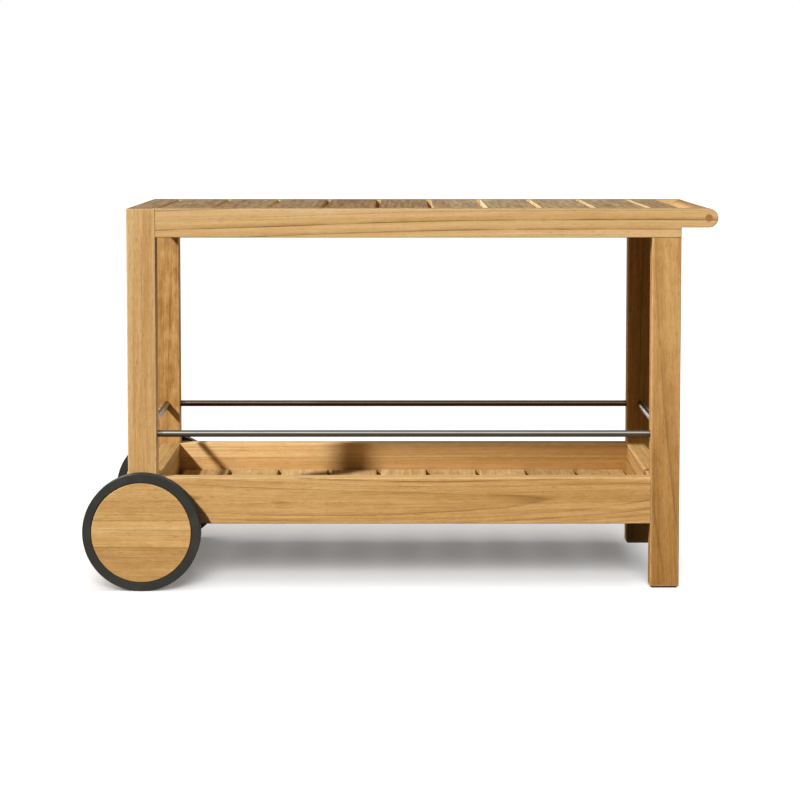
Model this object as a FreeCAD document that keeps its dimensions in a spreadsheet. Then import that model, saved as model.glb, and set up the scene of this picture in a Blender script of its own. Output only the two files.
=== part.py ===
import FreeCAD, Part
import Sketcher
import os
import re

# A teak bar cart: two board-built side frames carry a slatted top and a slatted tray.
# It stands on two wheels at one end and on two legs at the other, where a round handle
# bar joins the side rails. The origin is on the floor, in the middle of the cart's box:
# +X points to the handle, +Y to the back and +Z up. All sizes are in millimetres.

DRIVING = {
    # Frame boards
    "top_height": 790,
    "frame_depth": 530,
    "stock": 40,
    "leg_width": 60,
    "leg_foot": 45,
    "arris": 2,
    # Side rails, handle arms and handle bar
    "arm_height": 39,
    "arm_notch": 21,
    "handle_reach": 56,
    "handle_dia": 38,
    "handle_tenon_dia": 15,
    "end_rail_height": 40,
    # Slats and the ledgers that carry them
    "slat_count": 9,
    "slat_width": 102,
    "slat_gap": 10.6,
    "slat_thick": 18,
    "slat_end_gap": 1,
    "slat_arris": 1.5,
    "ledger_width": 20,
    "ledger_height": 15,
    "ledger_rise": 3,
    # Tray walls and guard rods
    "tray_wall": 60,
    "axle_clear": 5,
    "rod_rise": 90,
    "rod_dia": 14,
    "rod_web": 7,
    "side_rod_seat": 14,
    # Mortise and tenon joints
    "tenon_thick": 14,
    "tenon_length": 22,
    "tenon_shoulder": 12,
    "tenon_web": 3,
    # Screws
    "screw_dia": 4,
    "screw_bite": 11,
    "screw_point": 3,
    "screw_inset": 24,
    "screw_head_dia": 8,
    "screw_head_height": 2.4,
    "screw_head_round": 1.6,
    # Wheels
    "disc_dia": 206,
    "disc_round": 1.5,
    "core_thick": 15,
    "face_thick": 15,
    "tyre_wall": 19,
    "tyre_inset": 1,
    "tyre_round": 4,
    "tyre_rib_width": 6,
    "tyre_rib_height": 3,
    # Axle and what turns or sits on it
    "axle_dia": 16,
    "axle_tail": 2.3,
    "axle_chamfer": 1,
    "bush_wall": 4,
    "spacer_dia": 36,
    "spacer_thick": 4.5,
    "wheel_play": 0.5,
    "washer_dia": 28,
    "washer_thick": 1.5,
    "ring_thick": 1.2,
    "ring_wall": 3,
    "ring_mouth": 9,
    "groove_depth": 0.8,
    "pocket_room": 1.5,
    # Feet of the handle-end legs
    "glide_thick": 3,
    "glide_inset": 3,
    "glide_round": 4,
    "glide_pin_dia": 5,
    "glide_pin_length": 12,
    # Clearances: a glued or pressed fit, and a running fit
    "glue_gap": 0.1,
    "running_gap": 0.05,
}

# Sizes and places that follow from the driving sizes, each from those above it
PLACES = {
    "slat_pitch": "slat_width + slat_gap",
    "inner_length": "slat_count * slat_pitch + slat_gap",
    "outer_length": "inner_length + 2 * leg_width",
    "wheel_dia": "disc_dia + 2 * tyre_wall",
    "axle_height": "wheel_dia / 2",
    "handle_tip": "outer_length + handle_reach + arm_height / 2",
    "left_face": "-(leg_width / 2 - wheel_dia / 2 + handle_tip) / 2",
    "wheel_leg_x": "left_face + leg_width / 2",
    "inner_left": "left_face + leg_width",
    "inner_right": "inner_left + inner_length",
    "handle_leg_x": "inner_right + leg_width / 2",
    "handle_x": "left_face + outer_length + handle_reach",
    "frame_y": "(frame_depth - stock) / 2",
    "inner_half": "frame_depth / 2 - stock",
    "ledger_y": "inner_half - ledger_width / 2",
    "rail_height": "arm_height + arm_notch",
    "rail_bottom": "top_height - rail_height",
    "handle_z": "top_height - arm_height / 2",
    "end_rail_z": "top_height - end_rail_height",
    "top_slat_z": "top_height - slat_thick",
    "top_ledger_z": "top_slat_z - ledger_height",
    "apron_height": "ledger_rise + ledger_height + slat_thick + tray_wall",
    "apron_bottom": "axle_height + axle_dia / 2 + axle_clear",
    "apron_middle": "apron_bottom + apron_height / 2",
    "tray_ledger_z": "apron_bottom + ledger_rise",
    "tray_slat_z": "tray_ledger_z + ledger_height",
    "rod_height": "apron_bottom + apron_height + rod_rise",
    "rod_seat": "(leg_width - rod_dia) / 2 - rod_web",
    "stub_tenon": "(stock - tenon_thick) / 2 - tenon_web",
    "first_slat_x": "slat_gap + slat_width / 2",
    "slat_screw_x": "slat_width / 2 - screw_inset",
    "screw_hole_dia": "screw_dia + 2 * glue_gap",
    "ledger_screws": "floor((slat_count - 1) / 2) + 1",
    "core_at": "spacer_thick + wheel_play",
    "glue_at": "core_at + core_thick",
    "face_at": "glue_at + face_thick",
    "washer_at": "glue_at + wheel_play",
    "ring_at": "washer_at + washer_thick",
    "axle_end": "ring_at + ring_thick + axle_tail",
    "axle_length": "frame_depth + 2 * axle_end",
    "bush_dia": "axle_dia + 2 * bush_wall",
    "tyre_bore": "disc_dia / 2 + glue_gap",
}

X_AXIS = FreeCAD.Vector(1, 0, 0)
Y_AXIS = FreeCAD.Vector(0, 1, 0)
Z_AXIS = FreeCAD.Vector(0, 0, 1)
# Edges are picked out by where they lie, to within this much
NEAR = 0.1
# The side frames: the front one faces -Y, so its inner face points to +Y
SIDES = {"front": 1, "back": -1}
# The ends of the cart: a wheel-end leg's inner side points to +X
ENDS = {"wheel": 1, "handle": -1}

doc = FreeCAD.newDocument("BarCart")
sheet = doc.addObject("Spreadsheet::Sheet", "Dims")
for row, (alias, size) in enumerate(DRIVING.items(), start=1):
    sheet.set(f"A{row}", alias)
    sheet.set(f"B{row}", str(size))
    sheet.setAlias(f"B{row}", alias)
doc.recompute()


def owned(formula, layout_name="Layout."):
    """Give each size named in a formula the sheet or the layout that holds it."""
    def owner(match):
        name = match.group()
        if name in DRIVING:
            return f"Dims.{name}"
        if name in PLACES:
            return f"{layout_name}{name}"
        return name
    return re.sub("[a-z_]+", owner, formula)


def bind(item, prop, formula):
    item.setExpression(prop, owned(formula))


layout = doc.addObject("App::VarSet", "Layout")
for name, formula in PLACES.items():
    layout.addProperty("App::PropertyFloat", name, "Places")
    layout.setExpression(name, owned(formula, layout_name=""))
doc.recompute()

pieces = []


def piece(label, place, turn=FreeCAD.Rotation()):
    """Start one piece of the cart, with its own origin at a place in the cart."""
    body = doc.addObject("PartDesign::Body", label)
    body.Label = label
    body.Placement = FreeCAD.Placement(FreeCAD.Vector(), turn)
    for axis, formula in zip("xyz", place):
        bind(body, f"Placement.Base.{axis}", formula)
    pieces.append(body)
    return body


def block(body, kind, name, size, centre):
    """Add or cut a square block, given by its three sizes and its centre."""
    box = body.newObject(f"PartDesign::{kind}Box", name)
    for prop, axis, length, middle in zip(("Length", "Width", "Height"), "xyz", size, centre):
        bind(box, prop, length)
        bind(box, f"Placement.Base.{axis}", f"{middle} - ({length}) / 2")
    return box


def peg(body, kind, name, dia, length, start, direction):
    """Add or cut a round peg that runs from a start point in one direction."""
    rod = body.newObject(f"PartDesign::{kind}Cylinder", name)
    rod.Placement = FreeCAD.Placement(FreeCAD.Vector(), FreeCAD.Rotation(Z_AXIS, direction))
    bind(rod, "Radius", f"({dia}) / 2")
    bind(rod, "Height", length)
    for axis, formula in zip("xyz", start):
        bind(rod, f"Placement.Base.{axis}", formula)
    return rod


def origin_part(body, role):
    """One of the piece's own axes or middle planes."""
    return next(feature for feature in body.Origin.OriginFeatures if feature.Role == role)


def repeat_along(body, hole, step, count):
    """Repeat a hole along the piece's length, at a steady step."""
    pattern = body.newObject("PartDesign::LinearPattern", f"{hole.Name}Row")
    pattern.Originals = [hole]
    pattern.Direction = (origin_part(body, "X_Axis"), [""])
    bind(pattern, "Length", f"({step}) * (({count}) - 1)")
    bind(pattern, "Occurrences", count)
    body.Tip = pattern


def picked_edges(feature, wanted):
    """The names of those edges of a feature that a test picks out."""
    doc.recompute()
    return [f"Edge{n}" for n, edge in enumerate(feature.Shape.Edges, start=1) if wanted(edge)]


def ease(body, base, radius, wanted):
    """Round those edges of the piece so far that a test picks out."""
    edges = picked_edges(base, wanted)
    fillet = body.newObject("PartDesign::Fillet", "Eased")
    fillet.Base = (base, edges)
    bind(fillet, "Radius", radius)


def every_edge(edge):
    return True


def runs(direction):
    """A test for straight edges that run in one direction."""
    return lambda edge: direction.cross(edge.tangentAt(edge.FirstParameter)).Length < NEAR


def rim(dia, *heights):
    """A test for the round edges of one diameter at any of some heights."""
    def wanted(edge):
        box = edge.BoundBox
        level = any(abs(box.ZMin - height) < NEAR for height in heights)
        return level and box.ZLength < NEAR and abs(box.XLength - dia) < NEAR
    return wanted


def upright_sketch(body):
    """A sketch on the piece's own upright middle plane."""
    sketch = body.newObject("Sketcher::SketchObject", "Outline")
    sketch.AttachmentSupport = [(origin_part(body, "XZ_Plane"), "")]
    sketch.MapMode = "FlatFace"
    return sketch


def fix_point(sketch, line, x, y):
    """Hold the start of a sketch line at a place; "0" puts it on that axis."""
    drawn = sketch.getPoint(line, 1)
    for kind, axis, formula, so_far in (("DistanceX", -2, x, drawn.x), ("DistanceY", -1, y, drawn.y)):
        if formula == "0":
            sketch.addConstraint(Sketcher.Constraint("PointOnObject", line, 1, axis))
        else:
            number = sketch.addConstraint(Sketcher.Constraint(kind, -1, 1, line, 1, so_far))
            bind(sketch, f"Constraints[{number}]", formula)


def draw_outline(sketch, rough, corners):
    """Draw a closed outline of straight lines roughly, then hold its corners in place."""
    for start, end in zip(rough, rough[1:] + rough[:1]):
        sketch.addGeometry(Part.LineSegment(FreeCAD.Vector(*start, 0), FreeCAD.Vector(*end, 0)))
    for line, (x, y) in enumerate(corners):
        following = (line + 1) % len(corners)
        sketch.addConstraint(Sketcher.Constraint("Coincident", line, 2, following, 1))
        fix_point(sketch, line, x, y)


def turned(body, corners):
    """Turn a piece on its own axis from a half section of (radius, height) corners."""
    sketch = upright_sketch(body)
    rough = [(n + 1, (n + 1) ** 2) for n in range(len(corners))]
    draw_outline(sketch, rough, corners)
    solid = body.newObject("PartDesign::Revolution", "Turned")
    solid.Profile = sketch
    solid.ReferenceAxis = (sketch, ["V_Axis"])
    solid.Angle = 360
    return solid


# Legs: thick flat boards. The wheel-end pair reaches the top surface and ends above the floor,
# where the axle passes through. The handle-end pair stands on glides and is tenoned up into
# the side rails. Each is mortised for the rails and aprons and bored for the guard rods.
def leg(side, end):
    inward = SIDES[side]
    endward = ENDS[end]
    foot = "(axle_height - leg_foot)" if end == "wheel" else "glide_thick"
    head = "top_height" if end == "wheel" else "rail_bottom"
    height = f"({head} - {foot})"
    body = piece(f"leg_{side}_{end}", (f"{end}_leg_x", f"{-inward} * frame_y", foot))
    board = block(body, "Additive", "Board", ("leg_width", "stock", height), ("0", "0", f"{height} / 2"))
    if end == "wheel":
        ease(body, board, "arris", every_edge)
    else:
        ease(body, board, "arris", lambda edge: runs(Z_AXIS)(edge) or edge.BoundBox.ZMax < NEAR)
    mortise_x = f"{endward} * (leg_width - tenon_length) / 2"
    stub_y = f"{inward} * (stock - stub_tenon) / 2"
    apron_z = f"apron_middle - {foot}"
    apron_tenon = "apron_height - 2 * tenon_shoulder"
    block(body, "Subtractive", "ApronMortise", ("tenon_length", "tenon_thick", apron_tenon),
          (mortise_x, "0", apron_z))
    block(body, "Subtractive", "EndApronMortise", ("tenon_thick", "stub_tenon", apron_tenon),
          (f"{endward} * (leg_width - stock) / 2", stub_y, apron_z))
    rod_z = f"rod_height - {foot}"
    rod_hole = "rod_dia + 2 * glue_gap"
    peg(body, "Subtractive", "RodHole", rod_hole, "rod_seat",
        (f"{endward} * leg_width / 2", "0", rod_z), X_AXIS * -endward)
    peg(body, "Subtractive", "SideRodHole", rod_hole, "side_rod_seat",
        ("0", f"{inward} * stock / 2", rod_z), Y_AXIS * -inward)
    if end == "wheel":
        block(body, "Subtractive", "RailMortise",
              ("tenon_length", "tenon_thick", "rail_height - 2 * tenon_shoulder"),
              (mortise_x, "0", f"top_height - rail_height / 2 - {foot}"))
        block(body, "Subtractive", "EndRailMortise",
              ("leg_width - 2 * tenon_shoulder", "stub_tenon", "tenon_thick"),
              ("0", stub_y, f"top_height - end_rail_height / 2 - {foot}"))
        peg(body, "Subtractive", "AxleHole", "axle_dia + 2 * glue_gap", "stock",
            ("0", "-stock / 2", "leg_foot"), Y_AXIS)
    else:
        block(body, "Additive", "RailTenon",
              ("leg_width - 2 * tenon_shoulder", "tenon_thick", "tenon_length"),
              ("0", "0", f"{height} + tenon_length / 2"))
        peg(body, "Subtractive", "GlidePinHole", "glide_pin_dia + 2 * glue_gap",
            "glide_pin_length + glue_gap", ("0", "0", "0"), Z_AXIS)


for side in SIDES:
    for end in ENDS:
        leg(side, end)


# Side rails: one board each, tenoned into the wheel-end leg and laid on the handle-end leg.
# Past that leg the lower part is cut away, and the rest is a handle arm with a round end.
def rail_outline(body):
    sketch = upright_sketch(body)
    notch_x = layout.inner_length + sheet.leg_width
    nose_x = notch_x + sheet.handle_reach
    notch_z = sheet.arm_notch
    top_z = layout.rail_height
    rough = [(0, 0), (notch_x, 0), (notch_x, notch_z), (nose_x, notch_z), (nose_x, top_z), (0, top_z)]
    notch = "inner_length + leg_width"
    nose = "inner_length + leg_width + handle_reach"
    draw_outline(sketch, rough, (("0", "0"), (notch, "0"), (notch, "arm_notch"), (nose, "arm_notch"),
                                 (nose, "rail_height"), ("0", "rail_height")))
    nose_line = 3
    sketch.toggleConstruction(nose_line)
    below = FreeCAD.Vector(nose_x, notch_z, 0)
    above = FreeCAD.Vector(nose_x, top_z, 0)
    tip = FreeCAD.Vector(nose_x + sheet.arm_height / 2, (notch_z + top_z) / 2, 0)
    arc = sketch.addGeometry(Part.Arc(below, tip, above))
    sketch.addConstraint(Sketcher.Constraint("Coincident", arc, 1, nose_line, 1))
    sketch.addConstraint(Sketcher.Constraint("Coincident", arc, 2, nose_line, 2))
    sketch.addConstraint(Sketcher.Constraint("PointOnObject", arc, 3, nose_line))
    return sketch


def screw_holes(body, inward, z):
    """Pilot holes in a board's inner face for the screws that hold its ledger."""
    hole = peg(body, "Subtractive", "LedgerScrewHole", "screw_hole_dia", "screw_bite + glue_gap",
               ("first_slat_x", f"{inward} * stock / 2", z), Y_AXIS * -inward)
    repeat_along(body, hole, "2 * slat_pitch", "ledger_screws")


def side_rail(side):
    inward = SIDES[side]
    body = piece(f"side_rail_{side}", ("inner_left", f"{-inward} * frame_y", "rail_bottom"))
    board = body.newObject("PartDesign::Pad", "Board")
    board.Profile = rail_outline(body)
    board.SideType = "Symmetric"
    bind(board, "Length", "stock")
    ease(body, board, "arris", lambda edge: edge.BoundBox.XMax > NEAR and edge.BoundBox.YLength < NEAR)
    block(body, "Additive", "Tenon", ("tenon_length", "tenon_thick", "rail_height - 2 * tenon_shoulder"),
          ("-tenon_length / 2", "0", "rail_height / 2"))
    over_leg = "inner_length + leg_width / 2"
    tenon_width = "leg_width - 2 * tenon_shoulder"
    block(body, "Subtractive", "LegMortise", (tenon_width, "tenon_thick", "tenon_length"),
          (over_leg, "0", "tenon_length / 2"))
    block(body, "Subtractive", "EndRailMortise", (tenon_width, "stub_tenon", "tenon_thick"),
          (over_leg, f"{inward} * (stock - stub_tenon) / 2", "rail_height - end_rail_height / 2"))
    peg(body, "Subtractive", "HandleHole", "handle_tenon_dia + 2 * glue_gap", "stock",
        ("inner_length + leg_width + handle_reach", "-stock / 2", "rail_height - arm_height / 2"), Y_AXIS)
    screw_holes(body, inward, "rail_height - slat_thick - ledger_height / 2")


for side in SIDES:
    side_rail(side)


# Top end rails: boards laid flat between the side frames, with a stub tenon at each end.
def top_end_rail(end):
    body = piece(f"top_end_rail_{end}", (f"{end}_leg_x", "0", "end_rail_z"))
    centre = ("0", "0", "end_rail_height / 2")
    board = block(body, "Additive", "Board", ("leg_width", "2 * inner_half", "end_rail_height"), centre)
    ease(body, board, "arris", runs(Y_AXIS))
    block(body, "Additive", "StubTenons",
          ("leg_width - 2 * tenon_shoulder", "2 * (inner_half + stub_tenon)", "tenon_thick"), centre)


for end in ENDS:
    top_end_rail(end)


# Handle bar: a turned bar between the arms, with a round tenon through each arm.
handle = piece("handle_bar", ("handle_x", "-frame_depth / 2", "handle_z"), FreeCAD.Rotation(Z_AXIS, Y_AXIS))
turned(handle, (("0", "0"), ("handle_tenon_dia / 2", "0"), ("handle_tenon_dia / 2", "stock"),
                ("handle_dia / 2", "stock"), ("handle_dia / 2", "frame_depth - stock"),
                ("handle_tenon_dia / 2", "frame_depth - stock"), ("handle_tenon_dia / 2", "frame_depth"),
                ("0", "frame_depth")))


# Tray aprons: the long pair is tenoned into the legs' sides, the end pair into their inner faces.
def long_apron(side):
    inward = SIDES[side]
    body = piece(f"tray_apron_{side}", ("inner_left", f"{-inward} * frame_y", "apron_bottom"))
    centre = ("inner_length / 2", "0", "apron_height / 2")
    board = block(body, "Additive", "Board", ("inner_length", "stock", "apron_height"), centre)
    ease(body, board, "arris", runs(X_AXIS))
    block(body, "Additive", "Tenons",
          ("inner_length + 2 * tenon_length", "tenon_thick", "apron_height - 2 * tenon_shoulder"), centre)
    screw_holes(body, inward, "ledger_rise + ledger_height / 2")


def end_apron(end):
    inner_edge = "inner_left" if end == "wheel" else "inner_right"
    body = piece(f"tray_apron_{end}", (f"{inner_edge} - {ENDS[end]} * stock / 2", "0", "apron_bottom"))
    centre = ("0", "0", "apron_height / 2")
    board = block(body, "Additive", "Board", ("stock", "2 * inner_half", "apron_height"), centre)
    ease(body, board, "arris", runs(Y_AXIS))
    block(body, "Additive", "StubTenons",
          ("tenon_thick", "2 * (inner_half + stub_tenon)", "apron_height - 2 * tenon_shoulder"), centre)


for side in SIDES:
    long_apron(side)
for end in ENDS:
    end_apron(end)


# Ledgers: square battens screwed along the rails and the long aprons, bored for the slat screws.
def ledger(level, side):
    inward = SIDES[side]
    body = piece(f"{level}_ledger_{side}", ("inner_left", f"{-inward} * ledger_y", f"{level}_ledger_z"))
    block(body, "Additive", "Batten", ("inner_length", "ledger_width", "ledger_height"),
          ("inner_length / 2", "0", "ledger_height / 2"))
    for name, shift in (("FirstSlatHole", "- slat_screw_x"), ("SecondSlatHole", "+ slat_screw_x")):
        hole = peg(body, "Subtractive", name, "screw_hole_dia", "ledger_height",
                   (f"first_slat_x {shift}", "0", "0"), Z_AXIS)
        repeat_along(body, hole, "slat_pitch", "slat_count")
    hole = peg(body, "Subtractive", "WallScrewHole", "screw_hole_dia", "ledger_width",
               ("first_slat_x", "-ledger_width / 2", "ledger_height / 2"), Y_AXIS)
    repeat_along(body, hole, "2 * slat_pitch", "ledger_screws")


# Slats: planed boards across the cart, held by two screws at each end from below.
def slat(level, number):
    body = piece(f"{level}_slat_{number + 1}",
                 (f"inner_left + first_slat_x + {number} * slat_pitch", "0", f"{level}_slat_z"))
    board = block(body, "Additive", "Board", ("slat_width", "2 * (inner_half - slat_end_gap)", "slat_thick"),
                  ("0", "0", "slat_thick / 2"))
    ease(body, board, "slat_arris", every_edge)
    for across in (-1, 1):
        for along in (-1, 1):
            peg(body, "Subtractive", "ScrewHole", "screw_hole_dia", "screw_bite + glue_gap",
                (f"{across} * slat_screw_x", f"{along} * ledger_y", "0"), Z_AXIS)


LEVELS = ("top", "tray")
for level in LEVELS:
    for side in SIDES:
        ledger(level, side)
    for number in range(int(sheet.slat_count)):
        slat(level, number)


# Screws: pan heads, one pattern for the slats and a longer one for the ledgers. Each group is
# a set of separate screws, copied from one turned screw to its holes.
def screw(grip):
    body = doc.addObject("PartDesign::Body", "ScrewPattern")
    shank_end = f"screw_head_height + {grip} + screw_bite"
    head = "screw_head_dia / 2"
    shank = "screw_dia / 2"
    solid = turned(body, (("0", "0"), (head, "0"), (head, "screw_head_height"), (shank, "screw_head_height"),
                          (shank, f"{shank_end} - screw_point"), ("0", shank_end)))
    ease(body, solid, "screw_head_round", rim(sheet.screw_head_dia, 0))
    doc.recompute()
    return body.Shape


def screw_group(label, pattern, places, direction_of):
    """One node of separate screws, each at its place and driven in its own direction."""
    screws = []
    for place in places:
        turn = FreeCAD.Rotation(Z_AXIS, direction_of(place))
        screws.append(pattern.transformed(FreeCAD.Placement(place, turn).Matrix))
    group = doc.addObject("Part::Feature", label)
    group.Label = label
    group.Shape = Part.makeCompound(screws)
    pieces.append(group)


doc.recompute()
slat_places = []
ledger_places = []
for level in LEVELS:
    ledger_z = layout.getPropertyByName(f"{level}_ledger_z")
    for inward in SIDES.values():
        ledger_y = -inward * layout.ledger_y
        head_y = ledger_y + inward * (sheet.ledger_width / 2 + sheet.screw_head_height)
        head_z = ledger_z - sheet.screw_head_height
        for number in range(int(sheet.slat_count)):
            slat_x = layout.inner_left + layout.first_slat_x + number * layout.slat_pitch
            for shift in (-layout.slat_screw_x, layout.slat_screw_x):
                slat_places.append(FreeCAD.Vector(slat_x + shift, ledger_y, head_z))
            if number % 2 == 0:
                ledger_places.append(FreeCAD.Vector(slat_x, head_y, ledger_z + sheet.ledger_height / 2))
screw_group("slat_screws", screw("ledger_height"), slat_places, lambda place: Z_AXIS)
screw_group("ledger_screws", screw("ledger_width"), ledger_places,
            lambda place: Y_AXIS if place.y > 0 else -Y_AXIS)


# Guard rods: plain steel bars let into blind holes in the legs, at mid width and mid thickness.
def guard_rod(label, length, place, direction):
    rod = doc.addObject("Part::Cylinder", label)
    rod.Label = label
    rod.Placement = FreeCAD.Placement(FreeCAD.Vector(), FreeCAD.Rotation(Z_AXIS, direction))
    bind(rod, "Radius", "rod_dia / 2")
    bind(rod, "Height", length)
    for axis, formula in zip("xyz", place):
        bind(rod, f"Placement.Base.{axis}", formula)
    pieces.append(rod)


for side, inward in SIDES.items():
    guard_rod(f"guard_rod_{side}", "inner_length + 2 * rod_seat",
              ("inner_left - rod_seat", f"{-inward} * frame_y", "rod_height"), X_AXIS)
for end in ENDS:
    guard_rod(f"guard_rod_{end}", "2 * (inner_half + side_rod_seat)",
              (f"{end}_leg_x", "-inner_half - side_rod_seat", "rod_height"), Y_AXIS)


# Feet: a thin plastic glide under each handle-end leg, held by a pin pressed into the end grain.
for side, inward in SIDES.items():
    glide = piece(f"foot_glide_{side}", ("handle_leg_x", f"{-inward} * frame_y", "0"))
    pad = block(glide, "Additive", "Pad",
                ("leg_width - 2 * glide_inset", "stock - 2 * glide_inset", "glide_thick"),
                ("0", "0", "glide_thick / 2"))
    ease(glide, pad, "glide_round", runs(Z_AXIS))
    peg(glide, "Additive", "Pin", "glide_pin_dia", "glide_thick + glide_pin_length", ("0", "0", "0"), Z_AXIS)


# Axle: one steel bar through both wheel-end legs, grooved near its ends for the retaining rings.
axle = piece("axle", ("wheel_leg_x", "-frame_depth / 2 - axle_end", "axle_height"),
             FreeCAD.Rotation(Z_AXIS, Y_AXIS))
bar = "axle_dia / 2"
groove = "axle_dia / 2 - groove_depth"
near_groove = ("axle_tail - running_gap", "axle_tail + ring_thick + running_gap")
far_groove = tuple(f"axle_length - ({height})" for height in reversed(near_groove))
section = [("0", "0"), (bar, "0")]
for start, end in (near_groove, far_groove):
    section += [(bar, start), (groove, start), (groove, end), (bar, end)]
section += [(bar, "axle_length"), ("0", "axle_length")]
axle_bar = turned(axle, section)
end_edges = picked_edges(axle_bar, rim(sheet.axle_dia, 0, layout.axle_length))
chamfer = axle.newObject("PartDesign::Chamfer", "Ends")
chamfer.Base = (axle_bar, end_edges)
bind(chamfer, "Size", "axle_chamfer")


# Wheels: heights below run outwards along the axle from the leg's outer face. The core disc turns
# on the axle with its bush, the face disc is glued over it and hides the axle's end, and the tyre
# is held by a rib in the groove between the two discs.
def ring(body, bore, dia, start, end):
    """A plain ring between two heights."""
    inner = f"({bore}) / 2"
    outer = f"({dia}) / 2"
    return turned(body, ((inner, start), (outer, start), (outer, end), (inner, end)))


def wheel(side):
    outward = -SIDES[side]
    place = ("wheel_leg_x", f"{outward} * frame_depth / 2", "axle_height")
    turn = FreeCAD.Rotation(Z_AXIS, Y_AXIS * outward)
    disc = "disc_dia / 2"
    seat = "disc_dia / 2 - tyre_rib_height"
    seat_room = "tyre_rib_width / 2 + glue_gap"

    core = piece(f"wheel_core_{side}", place, turn)
    core_bore = "bush_dia / 2 + glue_gap"
    solid = turned(core, ((core_bore, "core_at"), (disc, "core_at"), (disc, f"glue_at - ({seat_room})"),
                          (seat, f"glue_at - ({seat_room})"), (seat, "glue_at"), (core_bore, "glue_at")))
    ease(core, solid, "disc_round", rim(sheet.disc_dia, layout.core_at))

    face = piece(f"wheel_face_{side}", place, turn)
    pocket = "washer_dia / 2 + pocket_room"
    solid = turned(face, (("0", "face_at"), (disc, "face_at"), (disc, f"glue_at + {seat_room}"),
                          (seat, f"glue_at + {seat_room}"), (seat, "glue_at"), (pocket, "glue_at"),
                          (pocket, "axle_end + pocket_room"), ("0", "axle_end + pocket_room")))
    ease(face, solid, "disc_round", rim(sheet.disc_dia, layout.face_at))

    tyre = piece(f"tyre_{side}", place, turn)
    rib = "tyre_bore - tyre_rib_height"
    inner_side = "core_at + tyre_inset"
    outer_side = "face_at - tyre_inset"
    rib_from = "glue_at - tyre_rib_width / 2"
    rib_to = "glue_at + tyre_rib_width / 2"
    tread = "wheel_dia / 2"
    solid = turned(tyre, (("tyre_bore", inner_side), (tread, inner_side), (tread, outer_side),
                          ("tyre_bore", outer_side), ("tyre_bore", rib_to), (rib, rib_to),
                          (rib, rib_from), ("tyre_bore", rib_from)))
    shoulders = (layout.core_at + sheet.tyre_inset, layout.face_at - sheet.tyre_inset)
    ease(tyre, solid, "tyre_round", rim(layout.wheel_dia, *shoulders))

    bush = piece(f"wheel_bush_{side}", place, turn)
    ring(bush, "axle_dia + 2 * running_gap", "bush_dia", "core_at", "glue_at")

    spacer = piece(f"wheel_spacer_{side}", place, turn)
    ring(spacer, "axle_dia + 2 * glue_gap", "spacer_dia", "0", "spacer_thick")

    washer = piece(f"wheel_washer_{side}", place, turn)
    ring(washer, "axle_dia + 2 * glue_gap", "washer_dia", "washer_at", "ring_at")

    clip = piece(f"retaining_ring_{side}", place, turn)
    clip_dia = "axle_dia + 2 * ring_wall"
    ring(clip, "axle_dia - 2 * groove_depth + 2 * glue_gap", clip_dia, "ring_at", "ring_at + ring_thick")
    block(clip, "Subtractive", "Mouth", ("ring_mouth", clip_dia, "2 * ring_thick"),
          ("0", f"({clip_dia}) / 2", "ring_at + ring_thick / 2"))


for side in SIDES:
    wheel(side)

doc.recompute()
for item in doc.Objects:
    if "Invalid" in item.State or "Error" in item.State:
        raise RuntimeError(f"{item.Label} failed: {item.State}")
for item in pieces:
    if item.Shape.isNull() or not item.Shape.isValid():
        raise RuntimeError(f"{item.Label} has no sound shape")

os.makedirs("parts", exist_ok=True)
for item in pieces:
    item.Shape.exportStep(f"parts/{item.Label}.step")
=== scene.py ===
import bmesh
import bpy
import math
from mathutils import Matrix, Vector


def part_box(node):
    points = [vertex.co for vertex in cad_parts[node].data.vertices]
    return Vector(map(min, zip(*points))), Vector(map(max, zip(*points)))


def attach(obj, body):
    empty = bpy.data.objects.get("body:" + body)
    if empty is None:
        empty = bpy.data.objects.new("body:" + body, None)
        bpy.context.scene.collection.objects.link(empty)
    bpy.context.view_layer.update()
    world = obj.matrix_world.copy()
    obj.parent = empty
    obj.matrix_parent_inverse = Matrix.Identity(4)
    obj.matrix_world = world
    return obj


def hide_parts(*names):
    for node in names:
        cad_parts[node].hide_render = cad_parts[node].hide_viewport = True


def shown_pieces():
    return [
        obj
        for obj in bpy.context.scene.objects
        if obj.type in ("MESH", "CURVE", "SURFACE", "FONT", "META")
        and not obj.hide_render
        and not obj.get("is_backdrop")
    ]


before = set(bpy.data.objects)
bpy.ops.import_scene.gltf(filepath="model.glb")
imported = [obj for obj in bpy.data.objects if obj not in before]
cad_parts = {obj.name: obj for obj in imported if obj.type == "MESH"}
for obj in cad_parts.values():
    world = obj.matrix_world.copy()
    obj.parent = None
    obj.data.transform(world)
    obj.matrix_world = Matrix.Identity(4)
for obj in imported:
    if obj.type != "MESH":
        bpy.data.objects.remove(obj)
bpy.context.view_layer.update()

# Legs: four teak boards, sawn, planed and eased along every edge, mortised for the rails and
# aprons. The wheel-end pair stops short of the floor and carries the axle; the other pair stands.
# The wood is oiled: growth rings bend slowly along each board, with short fibres and open pores.


def put(tree, kind, feeds=None, **settings):
    """Adds a node to a tree, sets it up, and fills its inputs or joins them to other sockets."""
    node = tree.nodes.new(kind)
    for name, value in settings.items():
        setattr(node, name, value)
    for name, value in (feeds or {}).items():
        if isinstance(value, bpy.types.NodeSocket):
            tree.links.new(value, node.inputs[name])
        else:
            node.inputs[name].default_value = value
    return node


def calc(tree, operation, *feeds):
    return put(tree, "ShaderNodeMath", dict(enumerate(feeds)), operation=operation).outputs[0]


def vector_calc(tree, operation, *feeds):
    made = put(tree, "ShaderNodeVectorMath", dict(enumerate(feeds)), operation=operation)
    return made.outputs["Value" if operation in ("LENGTH", "DOT_PRODUCT") else "Vector"]


def scaled(tree, vector, factor):
    feeds = {0: vector, "Scale": factor}
    return put(tree, "ShaderNodeVectorMath", feeds, operation="SCALE").outputs[0]


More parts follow.
